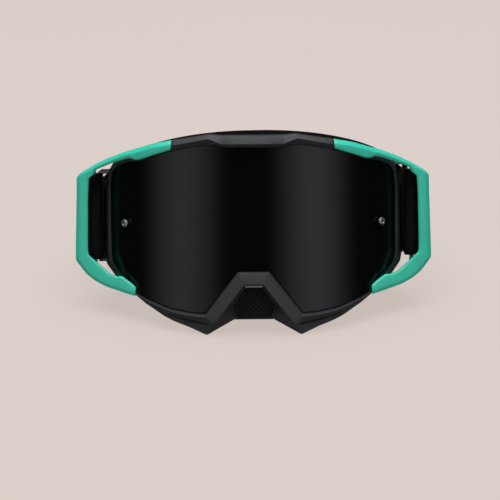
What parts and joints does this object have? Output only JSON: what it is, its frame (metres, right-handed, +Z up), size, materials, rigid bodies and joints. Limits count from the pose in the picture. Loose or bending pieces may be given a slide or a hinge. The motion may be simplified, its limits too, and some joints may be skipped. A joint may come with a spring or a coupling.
{
  "type": "motorcycle goggles",
  "caption": "Motorcycle goggles with a curved dark lens, coloured outriggers, layered face foam, a nose guard and an elastic strap that tilts and stretches.",
  "frame": {"origin": "bottom centre of the bounding box, on the surface that the goggles stand on", "axes": "+X to the right as seen from in front of the lens, -Y the way the lens faces, +Z up; the lens leans back 14.85 degrees"},
  "size_m": [0.1882, 0.208, 0.0979],
  "materials": {
    "mint_plastic": "satin",
    "black_plastic": "satin",
    "frame_rubber": "matt, flexible polyurethane",
    "mirror_lens": "dark mirrored polycarbonate",
    "post_metal": "satin",
    "nose_mesh": "matt mesh",
    "foam_dark": "open-cell foam",
    "foam_grey": "open-cell foam",
    "fleece": "brushed fleece",
    "webbing": "woven elastic",
    "silicone": "satin silicone",
    "thread": "stitched",
    "buckle_plastic": "satin"
  },
  "bodies": {
    "frame": {"inner_frame": "frame_rubber", "upper_shell": "black_plastic", "lower_shell": "black_plastic", "nose_vent_mesh": "nose_mesh", "outrigger_left": "mint_plastic", "outrigger_right": "mint_plastic", "strap_post_left": "mint_plastic", "strap_post_right": "mint_plastic", "foam_base_layer": "foam_dark", "foam_middle_layer": "foam_grey", "foam_fleece_layer": "fleece", "vent_foam_top": "foam_dark", "vent_foam_bottom_left": "foam_dark", "vent_foam_bottom_right": "foam_dark"},
    "lens": {"lens": "mirror_lens", "tear_off_post_left": "post_metal", "tear_off_post_right": "post_metal", "tear_off_washer_left": "silicone", "tear_off_washer_right": "silicone"},
    "strap_base": {"strap_loop_left": "webbing", "strap_loop_right": "webbing", "strap_stitch_left": "thread", "strap_stitch_right": "thread", "strap_side_left": "webbing", "strap_side_right": "webbing"},
    "strap_rear": {"strap_rear": "webbing", "strap_grip_lower": "silicone", "strap_grip_middle": "silicone", "strap_grip_upper": "silicone"},
    "slider_left": {"strap_slider_left": "buckle_plastic"},
    "slider_right": {"strap_slider_right": "buckle_plastic"}
  },
  "joints": [
    {"name": "lens_pull", "type": "slide", "parent": "frame", "child": "lens", "axis": [0, -0.9666, 0.2563], "range_m": [0, 0.03]},
    {"name": "strap_tilt", "type": "hinge", "parent": "frame", "child": "strap_base", "pos_m": [0, -0.04928, 0.04418], "axis": [1, 0, 0], "range_deg": [-6, 6]},
    {"name": "strap_stretch", "type": "slide", "parent": "strap_base", "child": "strap_rear", "axis": [0, 0.9886, -0.1504], "range_m": [0, 0.05], "stiffness_N_per_m": 100, "deforming": ["strap_side_left", "strap_side_right"]},
    {"name": "slider_left_slide", "type": "slide", "parent": "strap_base", "child": "slider_left", "axis": [0.1012, 0.9778, -0.1834], "range_m": [-0.008, 0.008]},
    {"name": "slider_right_slide", "type": "slide", "parent": "strap_base", "child": "slider_right", "axis": [-0.1012, 0.9778, -0.1834], "range_m": [-0.008, 0.008]}
  ]
}
